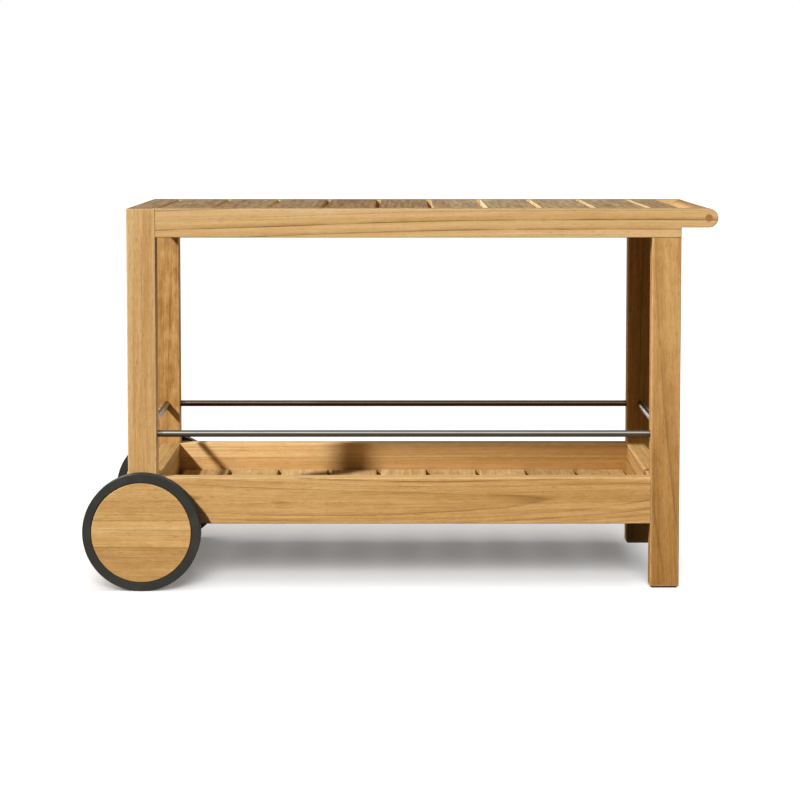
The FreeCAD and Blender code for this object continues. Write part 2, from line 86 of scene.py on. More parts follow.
def joined(tree, **sides):
    """A vector made of single values for its X, Y and Z."""
    return put(tree, "ShaderNodeCombineXYZ", sides).outputs[0]


def split(tree, vector):
    """The X, Y and Z of a vector."""
    return put(tree, "ShaderNodeSeparateXYZ", {0: vector}).outputs


def ramp(tree, value, start, end, low=0.0, high=1.0):
    """A value that rises smoothly from low to high between start and end."""
    feeds = {"Value": value, "From Min": start, "From Max": end, "To Min": low, "To Max": high}
    return put(tree, "ShaderNodeMapRange", feeds, interpolation_type="SMOOTHSTEP").outputs["Result"]


def blend_colour(tree, share, first, second, kind="MIX"):
    """Two colours blended. Their sockets go by number, because others have the same names."""
    feeds = {"Factor": share, 6: first, 7: second}
    return put(tree, "ShaderNodeMix", feeds, data_type="RGBA", blend_type=kind).outputs[2]


def grey_of(tree, value):
    return put(tree, "ShaderNodeCombineColor", {0: value, 1: value, 2: value}).outputs[0]


def noise(tree, place, scale, detail=2.0, output="Fac"):
    """Noise whose cells are as many to the metre as scale says, in each direction."""
    stretched = vector_calc(tree, "MULTIPLY", place, scale)
    feeds = {"Vector": stretched, "Scale": 1.0, "Detail": detail}
    return put(tree, "ShaderNodeTexNoise", feeds).outputs[output]


def new_group(kind, name, inputs, outputs):
    """An empty node group with named sockets, and the sockets of its input and output nodes."""
    group = bpy.data.node_groups.new(name, kind)
    faces = group.interface
    for label, socket, start in inputs:
        made = faces.new_socket(label, in_out="INPUT", socket_type="NodeSocket" + socket)
        if start is not None:
            made.default_value = start
    for label, socket in outputs:
        faces.new_socket(label, in_out="OUTPUT", socket_type="NodeSocket" + socket)
    given = group.nodes.new("NodeGroupInput").outputs
    return group, given, group.nodes.new("NodeGroupOutput").inputs


def tint(code):
    """A colour as it looks on screen, six hex digits, turned into the light it stands for."""
    parts = [int(code[i:i + 2], 16) / 255 for i in (0, 2, 4)]
    return [p / 12.92 if p < 0.04045 else ((p + 0.055) / 1.055) ** 2.4 for p in parts] + [1.0]


# Cells to the metre across the grain, across it again, and along it
RING_BENDS = (6.0, 6.0, 1.1)
RING_RIPPLE = (40.0, 40.0, 5.0)
LINE_BREAKS = (60.0, 60.0, 7.0)
TONE_BANDS = (24.0, 24.0, 0.8)
MOTTLING = (60.0, 60.0, 26.0)
SHEEN_PATCHES = (130.0, 130.0, 8.0)
STREAKS = (160.0, 160.0, 1.6)
FIBRES = (420.0, 420.0, 7.0)
FLECKING = (520.0, 520.0, 60.0)
HAIRS = (1500.0, 1500.0, 40.0)
PORES = (2000.0, 2000.0, 80.0)
# How far apart in the log two boards lie whose numbers differ by one, and their years of growth
BOARD_APART = (3.7, 5.3, 11.9)
YEARS_APART = 31.0
# How far the rings swing across the grain for a bend of one, and the ripple's share in that
BEND_REACH = (4.0, 4.0, 0.0)
RIPPLE_SHARE = (0.10, 0.10, 0.0)
# Parts of a year: where late wood starts and is full, its thin line, and the sharp end of the year
RING_START = 0.3
VEIN_START = 0.4
LATE_FULL = 0.92
LATE_LINE = (0.83, 0.94)
YEAR_END = (0.95, 1.0)
LATE_DEPTH = 0.4
LINE_DEPTH = 0.6
FAINTEST_RING = 0.2
# Where each effect begins to show and where it shows in full
BREAK_STEP = (0.3, 0.62)
FLECK_STEP = (0.56, 0.74)
PORE_STEP = (0.60, 0.70)
LATE_STEP = (0.2, 0.6)
END_STEP = (0.6, 0.9)
PATCH_STEP = (0.3, 0.7)
UPWARD_STEP = (0.5, 0.95)
BROKEN_LINE = 0.35
LATE_PORES = 0.3
# Shares of the tone, the shades, the roughness and the relief
BAND_SHARE = 1.3
STREAK_SHARE = 1.1
FIBRE_SHARE = 1.0
HAIR_SHARE = 1.2
PORE_SHADE = tint("5a3a1c")
PORE_DEPTH = 0.45
END_SHADE = tint("d0b08c")
END_DEPTH = 0.8
# What a board's tone and its shade fade do to red, green and blue, and the least that the fade
# leaves
WARMTH = ((0.10, 1.0), (0.13, 1.3), (0.17, 1.8))
SHADE_FADE_LEAST = 0.2
OILED_ROUGHNESS = 0.76
HAIR_ROUGHNESS = 0.16
PORE_ROUGHNESS = 0.12
FIBRE_RELIEF = 0.5
VEIN_RELIEF = -0.05
PORE_RELIEF = -0.8


def ring_lines(tree, depth, spacing, seed, start, least):
    """Growth rings at a spacing: wood that darkens towards a thin late line, stronger in some
    years, and the part of the year."""
    year = calc(tree, "DIVIDE", depth, spacing)
    part = calc(tree, "FRACT", year)
    luck = calc(tree, "ADD", calc(tree, "FLOOR", year), seed)
    strength = put(tree, "ShaderNodeTexWhiteNoise", {"W": luck}, noise_dimensions="1D").outputs[0]
    spare = calc(tree, "SUBTRACT", 1.0, least)
    strength = calc(tree, "MULTIPLY_ADD", calc(tree, "MULTIPLY", strength, strength), spare, least)
    late = calc(tree, "ADD", ramp(tree, part, start, LATE_FULL, 0.0, LATE_DEPTH),
                ramp(tree, part, *LATE_LINE, 0.0, LINE_DEPTH))
    late = calc(tree, "MULTIPLY", late, ramp(tree, part, *YEAR_END, 1.0, 0.0))
    return calc(tree, "MULTIPLY", late, strength), part


def make_teak_grain():
    """The grain of a board: its colour, its roughness, and the height of its fibres and pores."""
    inputs = (("Vector", "Vector", None), ("Normal", "Vector", None), ("Axis", "Vector", None),
              ("Board", "Float", 0.0), ("Tone", "Float", 0.0), ("Pith", "Vector", None),
              ("Ring Spacing", "Float", 0.005), ("Ring Strength", "Float", 0.4),
              ("Vein Spacing", "Float", 0.02), ("Vein Strength", "Float", 0.5),
              ("Vein Shift", "Float", 0.0), ("Evenness", "Float", 0.12), ("Bend", "Float", 0.006),
              ("Bow", "Float", 0.0), ("Banding", "Float", 1.0), ("Mottle", "Float", 0.4),
              ("Flecks", "Float", 0.15), ("Fade", "Float", 0.0),
              ("Weathered", "Color", (1.0, 1.0, 1.0, 1.0)), ("Patches", "Float", 0.1),
              ("Pale", "Color", None), ("Mid", "Color", None), ("Dark", "Color", None))
    outputs = (("Color", "Color"), ("Roughness", "Float"), ("Height", "Float"))
    tree, given, gives = new_group("ShaderNodeTree", "teak_grain", inputs, outputs)
    place = vector_calc(tree, "ADD", given["Vector"], scaled(tree, BOARD_APART, given["Board"]))

    def swings(scale, detail):
        return calc(tree, "SUBTRACT", noise(tree, place, scale, detail), 0.5)

    def side_swings(scale, detail):
        spread = noise(tree, place, scale, detail, "Color")
        return vector_calc(tree, "SUBTRACT", spread, (0.5, 0.5, 0.5))

    ripple = vector_calc(tree, "MULTIPLY", side_swings(RING_RIPPLE, 2.0), RIPPLE_SHARE)
    bends = vector_calc(tree, "ADD", side_swings(RING_BENDS, 1.0), ripple)
    bends = scaled(tree, vector_calc(tree, "MULTIPLY", bends, BEND_REACH), given["Bend"])
    length = split(tree, given["Vector"])["Z"]
    bow = calc(tree, "MULTIPLY", calc(tree, "MULTIPLY", length, length), given["Bow"])
    bent = vector_calc(tree, "ADD", given["Vector"], bends)
    bent = vector_calc(tree, "ADD", bent, joined(tree, X=bow))
    from_pith = vector_calc(tree, "SUBTRACT", bent, given["Pith"])
    depth = vector_calc(tree, "LENGTH", vector_calc(tree, "MULTIPLY", from_pith, (1.0, 1.0, 0.0)))
    seed = calc(tree, "MULTIPLY", given["Board"], YEARS_APART)
    rings, part = ring_lines(tree, depth, given["Ring Spacing"], seed, RING_START, FAINTEST_RING)
    shifted = calc(tree, "ADD", depth, given["Vein Shift"])
    veins = ring_lines(tree, shifted, given["Vein Spacing"], seed, VEIN_START, given["Evenness"])[0]

    hairs, fibres, streaks = swings(HAIRS, 2.0), swings(FIBRES, 2.0), swings(STREAKS, 2.0)
    banding = calc(tree, "MULTIPLY", given["Banding"], BAND_SHARE)
    tone = calc(tree, "MULTIPLY_ADD", swings(TONE_BANDS, 2.0), banding, 0.5)
    for swing, share in ((swings(MOTTLING, 3.0), given["Mottle"]), (streaks, STREAK_SHARE),
                         (fibres, FIBRE_SHARE), (hairs, HAIR_SHARE)):
        tone = calc(tree, "MULTIPLY_ADD", swing, share, tone)
    colour = blend_colour(tree, tone, given["Pale"], given["Mid"])
    broken = ramp(tree, noise(tree, place, LINE_BREAKS, 2.0), *BREAK_STEP, BROKEN_LINE, 1.0)
    for lines, strength in ((rings, "Ring Strength"), (veins, "Vein Strength")):
        share = calc(tree, "MULTIPLY", calc(tree, "MULTIPLY", lines, broken), given[strength])
        colour = blend_colour(tree, share, colour, given["Dark"])
    flecks = ramp(tree, noise(tree, place, FLECKING, 2.0), *FLECK_STEP)
    flecks = calc(tree, "MULTIPLY", flecks, given["Flecks"])
    colour = blend_colour(tree, flecks, colour, given["Dark"])
    pores = ramp(tree, noise(tree, place, PORES, 1.0), *PORE_STEP)
    pores = calc(tree, "MULTIPLY", pores, ramp(tree, part, *LATE_STEP, 1.0, LATE_PORES))
    colour = blend_colour(tree, calc(tree, "MULTIPLY", pores, PORE_DEPTH), colour, PORE_SHADE)
    across = vector_calc(tree, "DOT_PRODUCT", given["Normal"], given["Axis"])
    end_grain = ramp(tree, calc(tree, "ABSOLUTE", across), *END_STEP)
    end_grain = calc(tree, "MULTIPLY", end_grain, END_DEPTH)
    colour = blend_colour(tree, end_grain, colour, END_SHADE, "MULTIPLY")
    # Up-facing faces are tinted, in patches, by the sheen colour: painted sheen from a grazing
    # reflection, not weathering
    patches = ramp(tree, noise(tree, place, SHEEN_PATCHES, 3.0), *PATCH_STEP, -1.0, 1.0)
    patchy = grey_of(tree, calc(tree, "MULTIPLY_ADD", patches, given["Patches"], 1.0))
    painted_sheen = blend_colour(tree, 1.0, given["Weathered"], patchy, "MULTIPLY")
    upward = ramp(tree, split(tree, given["Normal"])["Z"], *UPWARD_STEP)
    colour = blend_colour(tree, upward, colour, painted_sheen, "MULTIPLY")
    # The shade fade darkens and warms a board along its length: painted shade on the front
    # handle-end leg and the back apron
    shade_fade = calc(tree, "MULTIPLY", length, given["Fade"])
    warmth = []
    for share, reach in WARMTH:
        far = calc(tree, "MAXIMUM", calc(tree, "MULTIPLY_ADD", shade_fade, reach, 1.0), SHADE_FADE_LEAST)
        near = calc(tree, "MULTIPLY_ADD", given["Tone"], share, 1.0)
        warmth.append(calc(tree, "MULTIPLY", near, far))
    warm = put(tree, "ShaderNodeCombineColor", dict(enumerate(warmth))).outputs[0]
    tree.links.new(blend_colour(tree, 1.0, colour, warm, "MULTIPLY"), gives["Color"])
    rough = calc(tree, "MULTIPLY_ADD", hairs, HAIR_ROUGHNESS, OILED_ROUGHNESS)
    rough = calc(tree, "MULTIPLY_ADD", pores, PORE_ROUGHNESS, rough)
    tree.links.new(rough, gives["Roughness"])
    height = calc(tree, "MULTIPLY", veins, VEIN_RELIEF)
    height = calc(tree, "MULTIPLY_ADD", fibres, FIBRE_RELIEF, height)
    tree.links.new(calc(tree, "MULTIPLY_ADD", pores, PORE_RELIEF, height), gives["Height"])
    return tree


RUB_WIDTH = 0.006
RUB_PATCHES = (45.0, 45.0, 45.0)
RUB_STEP = (0.3, 0.65)
RUB_LEAST = 0.35
RUB_SHADE = tint("ecd0a2")
RUB_POLISH = -0.2


def make_arris_wear():
    """Marks the rubbed edges of a board from its box: 1 on an edge, 0 a little way in."""
    inputs = (("Vector", "Vector", None), ("Middle", "Vector", None), ("Half", "Vector", None),
              ("Width", "Float", RUB_WIDTH))
    tree, given, gives = new_group("ShaderNodeTree", "arris_wear", inputs, (("Wear", "Float"),))
    out = vector_calc(tree, "SUBTRACT", given["Vector"], given["Middle"])
    out = vector_calc(tree, "SUBTRACT", vector_calc(tree, "ABSOLUTE", out), given["Half"])
    x, y, z = split(tree, out)
    least = calc(tree, "MINIMUM", calc(tree, "MINIMUM", x, y), z)
    most = calc(tree, "MAXIMUM", calc(tree, "MAXIMUM", x, y), z)
    total = calc(tree, "ADD", calc(tree, "ADD", x, y), z)
    to_edge = calc(tree, "SUBTRACT", calc(tree, "SUBTRACT", total, least), most)
    near = ramp(tree, to_edge, calc(tree, "MULTIPLY", given["Width"], -1.0), 0.0)
    patchy = ramp(tree, noise(tree, given["Vector"], RUB_PATCHES, 3.0), *RUB_STEP, RUB_LEAST, 1.0)
    tree.links.new(calc(tree, "MULTIPLY", near, patchy), gives["Wear"])
    return tree


def new_finish(name):
    """An empty material and its node tree."""
    material = bpy.data.materials.new(name)
    material.use_nodes = True
    material.node_tree.nodes.clear()
    return material, material.node_tree


def close_finish(tree, colour, rough, height, relief, **plain):
    """Ends a material in a surface with this colour and roughness, a relief of some strength and
    depth, and its plain values."""
    feeds = {"Height": height, "Strength": relief[0], "Distance": relief[1]}
    normal = put(tree, "ShaderNodeBump", feeds).outputs[0]
    feeds = {"Base Color": colour, "Roughness": rough, "Normal": normal, **plain}
    surface = put(tree, "ShaderNodeBsdfPrincipled", feeds).outputs[0]
    put(tree, "ShaderNodeOutputMaterial", {"Surface": surface})


teak_grain = make_teak_grain()
arris_wear = make_arris_wear()
QUARTER = math.pi / 2
# How the pattern turns so that its third direction lies along a board, and that board's axis
ALONG = {"X": ((0.0, QUARTER, 0.0), (1.0, 0.0, 0.0)),
         "Y": ((-QUARTER, 0.0, 0.0), (0.0, 1.0, 0.0)),
         "Z": ((0.0, 0.0, 0.0), (0.0, 0.0, 1.0))}
# A slope turns the lines on a board's broad face, and a dive lets them run out into points
SLOPE = {"X": (0.0, 1.0, 0.0), "Y": (1.0, 0.0, 0.0), "Z": (0.0, 1.0, 0.0)}
DIVE = {"X": (0.0, 0.0, 1.0), "Y": (0.0, 0.0, 1.0), "Z": (1.0, 0.0, 0.0)}
TEAK_RELIEF = (0.35, 0.0006)
TEAK_SHINE = 0.03


def stain(pale, mid, dark):
    """The three tones of a board: early wood, late wood, and its dark lines."""
    return {"Pale": tint(pale), "Mid": tint(mid), "Dark": tint(dark)}


def teak(name, along, low, high, slope=0.0, dive=0.0, planks=False, glued=None, wear=0.3, **figure):
    """A teak finish for a board with this box. With planks, each plank's number and tone are its
    own. A glued board is two strips edge to edge: the joint's height, and the lower strip's number
    and tone."""
    material, tree = new_finish(name)
    turn, axis = ALONG[along]
    turn = Vector(turn) + slope * Vector(SLOPE[along]) + dive * Vector(DIVE[along])
    spot = put(tree, "ShaderNodeTexCoord").outputs
    middle = (low + high) / 2
    feeds = {"Vector": spot["Object"], "Location": middle, "Rotation": turn}
    local = put(tree, "ShaderNodeMapping", feeds, vector_type="TEXTURE").outputs[0]
    feeds = {"Vector": local, "Normal": spot["Normal"], "Axis": axis, **figure}
    if planks:
        for label, socket in (("plank", "Board"), ("tone", "Tone")):
            own = put(tree, "ShaderNodeAttribute", attribute_name=label)
            feeds[socket] = own.outputs["Fac"]
    if glued:
        joint, board, tone = glued
        lower = calc(tree, "LESS_THAN", split(tree, spot["Object"])["Z"], joint)
        upper = figure["Board"]
        feeds["Board"] = calc(tree, "MULTIPLY_ADD", lower, board - upper, upper)
        feeds["Tone"] = calc(tree, "MULTIPLY", lower, tone)
    grain = put(tree, "ShaderNodeGroup", feeds, node_tree=teak_grain).outputs
    feeds = {"Vector": spot["Object"], "Middle": middle, "Half": (high - low) / 2}
    rubbed = put(tree, "ShaderNodeGroup", feeds, node_tree=arris_wear).outputs["Wear"]
    rub = calc(tree, "MULTIPLY", rubbed, wear)
    colour = blend_colour(tree, rub, grain["Color"], RUB_SHADE)
    rough = calc(tree, "MULTIPLY_ADD", rub, RUB_POLISH, grain["Roughness"])
    close_finish(tree, colour, rough, grain["Height"], TEAK_RELIEF,
                 **{"Specular IOR Level": TEAK_SHINE})
    return material


def dress(node, material):
    """Gives a solid of the frame its finish."""
    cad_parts[node].data.materials[0] = material


LEGS = {
    "leg_front_wheel": {**stain("e6be86", "c6965b", "80522a"), "Pith": (0.09, 0.16, 0.0),
                        "Board": 0.0, "Banding": 1.4, "Flecks": 0.3},
    "leg_back_wheel": {**stain("d5a86c", "a87940", "6b411d"), "Pith": (-0.11, 0.15, 0.0),
                       "Board": 1.3, "Mottle": 2.2},
    # This leg's darker stain and its shade fade, darker towards the foot, are painted shade where
    # the light falls off.
    "leg_front_handle": {**stain("cb9b5e", "ab793f", "663c19"), "Pith": (0.07, 0.19, 0.0),
                         "Board": 2.6, "Fade": 0.68, "slope": -0.04, "Bow": -0.12,
                         "Vein Strength": 0.4, "Banding": 1.6, "Mottle": 1.0, "Flecks": 0.3},
    # This leg's dark stain is partly its own tone, partly painted shade for the top's shadow on it.
    "leg_back_handle": {**stain("bd8b48", "92652c", "603714"), "Pith": (-0.08, 0.17, 0.0),
                        "Board": 3.9},
}
# Their up-facing end grain gets a grey painted sheen.
for leg, figure in LEGS.items():
    finish = {"Ring Spacing": 0.0052, "Ring Strength": 0.3, "Vein Spacing": 0.016,
              "Vein Strength": 0.4, "Bend": 0.004, "slope": 0.006, "dive": 0.02,
              "Weathered": (0.44, 0.56, 0.8, 1.0), **figure}
    dress(leg, teak(leg + "_teak", "Z", *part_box(leg), **finish))

# Side rails: two long teak boards between the legs' tops. Past the handle-end legs each is cut to a
# narrower arm with a round end. A few dark growth lines run their whole length.
RAILS = {
    "side_rail_front": {**stain("e9c48e", "d3a566", "74460e"), "Pith": (-0.42, 0.10, 0.0),
                        "Board": 40.0, "slope": -0.018, "Bow": -0.017, "Vein Spacing": 0.019,
                        "Vein Shift": -0.0947, "Vein Strength": 0.95, "Evenness": 0.28},
    "side_rail_back": {**stain("e2c08b", "c59a5e", "7c4f22"), "Pith": (-0.36, 0.14, 0.0),
                       "Board": 6.5, "slope": 0.02},
}
# Their up-facing tops get a grey painted sheen.
for rail, figure in RAILS.items():
    finish = {"Ring Spacing": 0.0062, "Ring Strength": 0.16, "Vein Spacing": 0.025,
              "Vein Strength": 1.0, "Bend": 0.003, "Banding": 0.8,
              "Weathered": (0.47, 0.47, 0.52, 1.0), **figure}
    dress(rail, teak(rail + "_teak", "X", *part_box(rail), wear=0.1, **finish))

# Handle bar: a round teak bar turned between centres, with a pin at each end that goes right
# through the arm, so its end grain and growth rings show on the outside.
# Its upper side gets a grey painted sheen.
HANDLE_FIGURE = {**stain("d8b27c", "b98f59", "8a5f35"), "Pith": (0.004, 0.003, 0.0), "Board": 7.8,
                 "Ring Spacing": 0.0035, "Ring Strength": 0.6, "Vein Spacing": 0.012,
                 "Vein Strength": 0.4, "Weathered": (0.5, 0.46, 0.41, 1.0)}
dress("handle_bar", teak("handle_bar_teak", "Y", *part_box("handle_bar"), wear=0.0, **HANDLE_FIGURE))

# Top end rails: teak boards set on edge between the legs, flush with the slats. Like the slats,
# their up-facing faces are tinted greyer and darker than the sides: painted sheen, not weathering.
TOP_STAIN_AND_SHEEN = {**stain("e6cda0", "cdac7c", "8a6a42"), "Weathered": (0.40, 0.355, 0.305, 1.0),
             "Patches": 0.3}
for end, board in (("wheel", 9.1), ("handle", 10.4)):
    rail = "top_end_rail_" + end
    finish = {"Pith": (0.08, 0.12, 0.0), "Board": board, "Vein Spacing": 0.014,
              "Vein Strength": 0.4, **TOP_STAIN_AND_SHEEN}
    dress(rail, teak(rail + "_teak", "Y", *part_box(rail), wear=0.1, **finish))

# Tray aprons: four flat-sawn teak boards on edge between the legs, tenoned at their ends. They
# wall the tray in, and their faces show wavy lines that run into long points.
SIDE_STAIN = stain("c39c64", "a0773e", "6e491f")
APRONS = {
    # The front apron's top face gets a paler painted sheen, and the board darkens slightly towards
    # the handle end.
    "tray_apron_front": ("X", {**stain("e3b577", "c08f50", "74451b"), "Pith": (0.002, 0.07, 0.0),
                               "Board": 11.7, "slope": -0.01, "dive": 0.009, "Bow": 0.06,
                               "Bend": 0.003, "Fade": -0.1, "Ring Spacing": 0.0022,
                               "Vein Spacing": 0.0042, "Evenness": 0.45,
                               "Weathered": (1.0, 1.1, 1.25, 1.0)}),
    # The back apron darkens and warms towards the handle end: painted shade where the top's shadow
    # falls on it.
    "tray_apron_back": ("X", {**stain("dab57e", "bb8f53", "704c22"), "Pith": (0.07, -0.16, 0.0),
                              "Board": 13.0, "slope": -0.008, "Fade": -0.55,
                              "glued": (0.199, 14.9, -1.4), "Banding": 0.4,
                              "Vein Strength": 0.6}),
    "tray_apron_wheel": ("Y", {**SIDE_STAIN, "Pith": (0.13, 0.02, 0.0), "Board": 14.3}),
    "tray_apron_handle": ("Y", {**SIDE_STAIN, "Pith": (-0.13, 0.03, 0.0), "Board": 15.6}),
}
for apron, (along, figure) in APRONS.items():
    finish = {"Ring Spacing": 0.0048, "Ring Strength": 0.4, "Vein Spacing": 0.012,
              "Vein Strength": 1.0, "Bend": 0.005, **figure}
    dress(apron, teak(apron + "_teak", along, *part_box(apron), **finish))

# Ledgers: square teak battens screwed along the inner faces of the rails and long aprons. The
# slats lie on them. They are left plainer than the outside boards, and stained dark: partly their
# own tone, partly painted shade for the gaps between the slats.
LEDGERS = {"top_ledger_front": 16.9, "top_ledger_back": 18.2, "tray_ledger_front": 19.5,
           "tray_ledger_back": 20.8}
LEDGER_STAIN_AND_SHADE = stain("94693a", "6b4721", "472c12")
for ledger, board in LEDGERS.items():
    finish = {"Pith": (0.06, 0.05, 0.0), "Board": board, "Vein Spacing": 0.012,
              "Vein Strength": 0.35, **LEDGER_STAIN_AND_SHADE}
    dress(ledger, teak(ledger + "_teak", "X", *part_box(ledger), **finish))

# Slats: nine planed teak boards across the top and nine across the tray, with open gaps between
# them and eased edges. Each comes from another plank, so their tones and figure differ.
SLAT_COUNT = 9
SLAT_ARRIS = 0.0008
ARRIS_STEPS = 3
PLANK_SPREAD = 40.0


def chance(tree, least, most, seed):
    """A random number for each point. Its limits go by number, as those of blend_colour do."""
    feeds = {2: least, 3: most, "Seed": seed}
    return put(tree, "FunctionNodeRandomValue", feeds, data_type="FLOAT").outputs[1]


def close_tree(tree, shape, finish, output):
    """Ends a node tree: makes its instances real and sets their finish."""
    solid = put(tree, "GeometryNodeRealizeInstances", {0: shape}).outputs[0]
    feeds = {"Geometry": solid, "Material": finish}
    tree.links.new(put(tree, "GeometryNodeSetMaterial", feeds).outputs[0], output)
    return tree


def make_slat_row():
    """A row of slats along X. Each has the number and the tone of its own plank."""
    inputs = (("Slats", "Int", SLAT_COUNT), ("First", "Vector", None), ("Pitch", "Float", 0.1),
              ("Slat Size", "Vector", None), ("Plank Seed", "Int", 0), ("Tone Seed", "Int", 0),
              ("Tone Spread", "Float", 1.0), ("Wood", "Material", None))
    tree, given, gives = new_group("GeometryNodeTree", "slat_row", inputs, (("Row", "Geometry"),))
    feeds = {"Count": given["Slats"], "Start Location": given["First"],
             "Offset": joined(tree, X=given["Pitch"])}
    line = put(tree, "GeometryNodeMeshLine", feeds, mode="OFFSET").outputs[0]
    slat = put(tree, "GeometryNodeMeshCube", {"Size": given["Slat Size"]}).outputs["Mesh"]
    feeds = {"Points": line, "Instance": slat}
    row = put(tree, "GeometryNodeInstanceOnPoints", feeds).outputs[0]
    palest = given["Tone Spread"]
    darkest = calc(tree, "MULTIPLY", palest, -1.0)
    for label, least, most in (("plank", 0.0, PLANK_SPREAD), ("tone", darkest, palest)):
        value = chance(tree, least, most, given[label.title() + " Seed"])
        feeds = {"Geometry": row, "Name": label, "Value": value}
        row = put(tree, "GeometryNodeStoreNamedAttribute", feeds, data_type="FLOAT",
                  domain="INSTANCE").outputs[0]
    return close_tree(tree, row, given["Wood"], gives["Row"])


def settle(piece):
    """Turns a piece with live modifiers into a plain mesh."""
    bpy.context.view_layer.update()
    graph = bpy.context.evaluated_depsgraph_get()
    made = bpy.data.meshes.new_from_object(piece.evaluated_get(graph), depsgraph=graph,
                                           preserve_all_data_layers=True)
    piece.modifiers.clear()
    piece.data = made
    made.name = piece.name
    return piece


def place(name, data):
    """An object with this mesh, lamp or camera, put into the scene."""
    made = bpy.data.objects.new(name, data)
    bpy.context.scene.collection.objects.link(made)
    return made


def grown(name, tree, start=None, arris=0.0, **values):
    """A piece made by a node tree from named sizes, its edges eased if an arris is given."""
    piece = place(name, start or bpy.data.meshes.new(name))
    growth = piece.modifiers.new(tree.name, "NODES")
    growth.node_group = tree
    for item in tree.interface.items_tree:
        label = item.name.replace(" ", "_").lower()
        if item.in_out == "INPUT" and label in values:
            growth[item.identifier] = values[label]
    if arris:
        easing = piece.modifiers.new("easing", "BEVEL")
        easing.width = arris
        easing.segments = ARRIS_STEPS
        easing.limit_method = "ANGLE"
    piece.modifiers.new("flat_faces", "WEIGHTED_NORMAL").keep_sharp = True
    return settle(piece)


def fit(piece, body, slot, *nodes):
    """Hangs a finished piece on its body, in place of the solids that it stands for."""
    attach(piece, body)
    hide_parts(*nodes)


slat_row = make_slat_row()
SLAT_FIGURE = {"Pith": (0.03, 0.10, 0.0), "Ring Spacing": 0.005, "Ring Strength": 0.3,
               "Vein Spacing": 0.013, "Vein Strength": 0.45, "Mottle": 1.0}
SLAT_LEVELS = {
    # The top slats' tones are spread wide so that the wheel half is darker and the handle half
    # paler: partly their own tone, partly painted sheen.
    "top": ("teak_top", {"plank_seed": 803, "tone_seed": 135238, "tone_spread": 2.4},
            {**TOP_STAIN_AND_SHEEN, "Mottle": 2.0, "Banding": 1.6}),
    # The tray slats get a faint painted sheen on top.
    "tray": ("teak_inside", {"plank_seed": 2, "tone_seed": 316187, "tone_spread": 2.0},
             {**stain("d6b684", "b28a52", "674926"), "Weathered": (0.95, 0.95, 0.97, 1.0)}),
}
for level, (slot, choice, tones) in SLAT_LEVELS.items():
    nodes = [f"{level}_slat_{i + 1}" for i in range(SLAT_COUNT)]
    low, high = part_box(nodes[0])
    slat_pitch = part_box(nodes[1])[0].x - low.x
    wood = teak(level + "_slats_teak", "Y", low, high, planks=True, wear=0.0,
                **{**SLAT_FIGURE, **tones})
    slats = grown(level + "_slats", slat_row, arris=SLAT_ARRIS, first=(low + high) / 2,
                  pitch=slat_pitch, slat_size=high - low, wood=wood, **choice)
    fit(slats, "frame", slot, *nodes)

# Guard rods: straight stainless bars above the tray, let into blind holes in the legs. They are
# ground and brushed along their length.
ALL_WAYS = (900.0, 900.0, 900.0)
STEEL_CLOUDS = (14.0, 14.0, 14.0)
# What the brush marks and the clouds add to the least shade and the least roughness
STEEL_SHADES = (0.24, 0.12, 0.82)
STEEL_ROUGHNESS = (0.14, 0.10, -0.12)
STEEL_RELIEF = (0.12, 0.0002)
# How far up a face looks where the painted bright band starts, where it ends, and what is left of it
# on top
BRIGHT_BAND_START = (0.15, 0.32)
BRIGHT_BAND_END = (0.48, 0.68)
BRIGHT_BAND_TOP = 0.35


def add_up(tree, first, second, shares):
    """Two values, each times its share, added to a third share."""
    rest = calc(tree, "MULTIPLY_ADD", second, shares[1], shares[2])
    return calc(tree, "MULTIPLY_ADD", first, shares[0], rest)


def make_brush_marks():
    """The marks of a brush on metal, with clouds in its shade and its roughness."""
    inputs = (("Vector", "Vector", None), ("Scale", "Vector", ALL_WAYS),
              ("Roughness", "Float", 0.3))
    outputs = (("Shade", "Color"), ("Roughness", "Float"), ("Height", "Float"))
    tree, given, gives = new_group("ShaderNodeTree", "brush_marks", inputs, outputs)
    brush = noise(tree, given["Vector"], given["Scale"], 3.0)
    cloud = noise(tree, given["Vector"], STEEL_CLOUDS, 3.0)
    shade = grey_of(tree, add_up(tree, brush, cloud, STEEL_SHADES))
    tree.links.new(shade, gives["Shade"])
    rough = add_up(tree, brush, cloud, STEEL_ROUGHNESS)
    tree.links.new(calc(tree, "ADD", rough, given["Roughness"]), gives["Roughness"])
    tree.links.new(brush, gives["Height"])
    return tree


brush_marks = make_brush_marks()


def steel(name, shade, rough, brushed=ALL_WAYS, painted_dark=None):
    """A metal finish with fine marks, so many to the metre in each direction. Where a dark colour is
    given, the colour is painted by how far up each face looks: a painted reflection, bright on the
    upper flank and dark on top and below."""
    material, tree = new_finish(name)
    spot = put(tree, "ShaderNodeTexCoord").outputs
    feeds = {"Vector": spot["Object"], "Scale": brushed, "Roughness": rough}
    marks = put(tree, "ShaderNodeGroup", feeds, node_tree=brush_marks).outputs
    colour = tint(shade)
    if painted_dark:
        up = split(tree, spot["Normal"])["Z"]
        painted_bright_band = calc(tree, "MULTIPLY", ramp(tree, up, *BRIGHT_BAND_START),
                        ramp(tree, up, *BRIGHT_BAND_END, 1.0, BRIGHT_BAND_TOP))
        colour = blend_colour(tree, painted_bright_band, tint(painted_dark), colour)
    colour = blend_colour(tree, 1.0, colour, marks["Shade"], "MULTIPLY")
    close_finish(tree, colour, marks["Roughness"], marks["Height"], STEEL_RELIEF, Metallic=1.0)
    return material


ROD_ROUGHNESS = 0.28
ALONG_X = (6.0, 900.0, 900.0)
ALONG_Y = (900.0, 6.0, 900.0)
